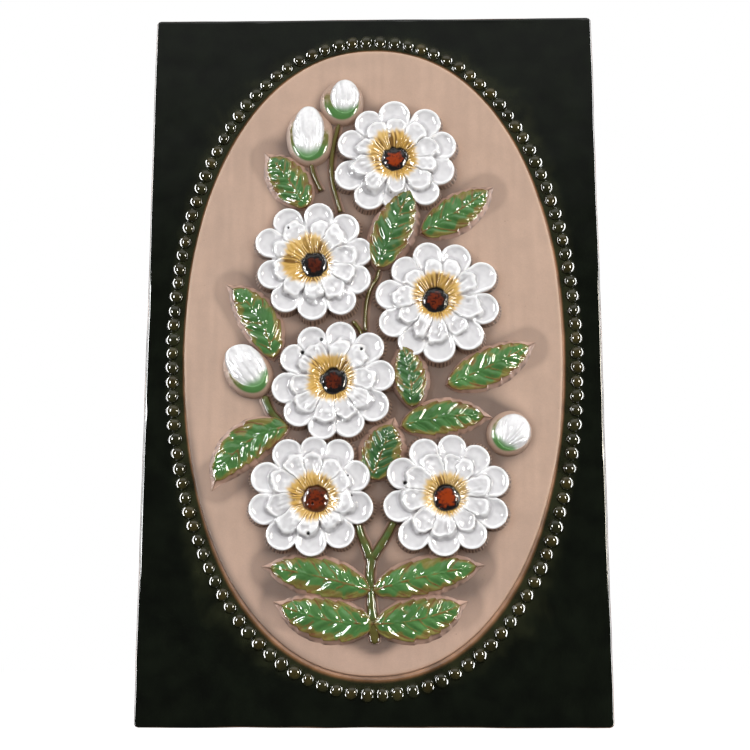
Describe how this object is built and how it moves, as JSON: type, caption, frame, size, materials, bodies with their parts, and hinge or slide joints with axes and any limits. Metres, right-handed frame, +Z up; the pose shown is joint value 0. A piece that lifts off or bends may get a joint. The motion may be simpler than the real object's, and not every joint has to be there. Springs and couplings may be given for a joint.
{
  "type": "decorative wall plaque",
  "caption": "Upright stoneware wall plaque: a dark glazed slab with a beaded oval frame around a bouquet of flowers, leaves and buds in relief.",
  "frame": {"origin": "centre of the flat back, on the wall's surface", "axes": "+Z up, +Y into the wall, so the decorated face looks along -Y"},
  "size_m": [0.24, 0.0244, 0.38],
  "materials": {
    "dark_glaze": "glossy, nearly black green glaze on the slab's border and its beads",
    "bare_clay": "matt, unglazed pinkish beige stoneware",
    "white_glaze": "glossy white glaze with amber and red-brown hearts",
    "green_glaze": "glossy pooled green glaze that breaks brown on its edges"
  },
  "bodies": {
    "root": {"plaque": "dark_glaze"}
  },
  "joints": []
}
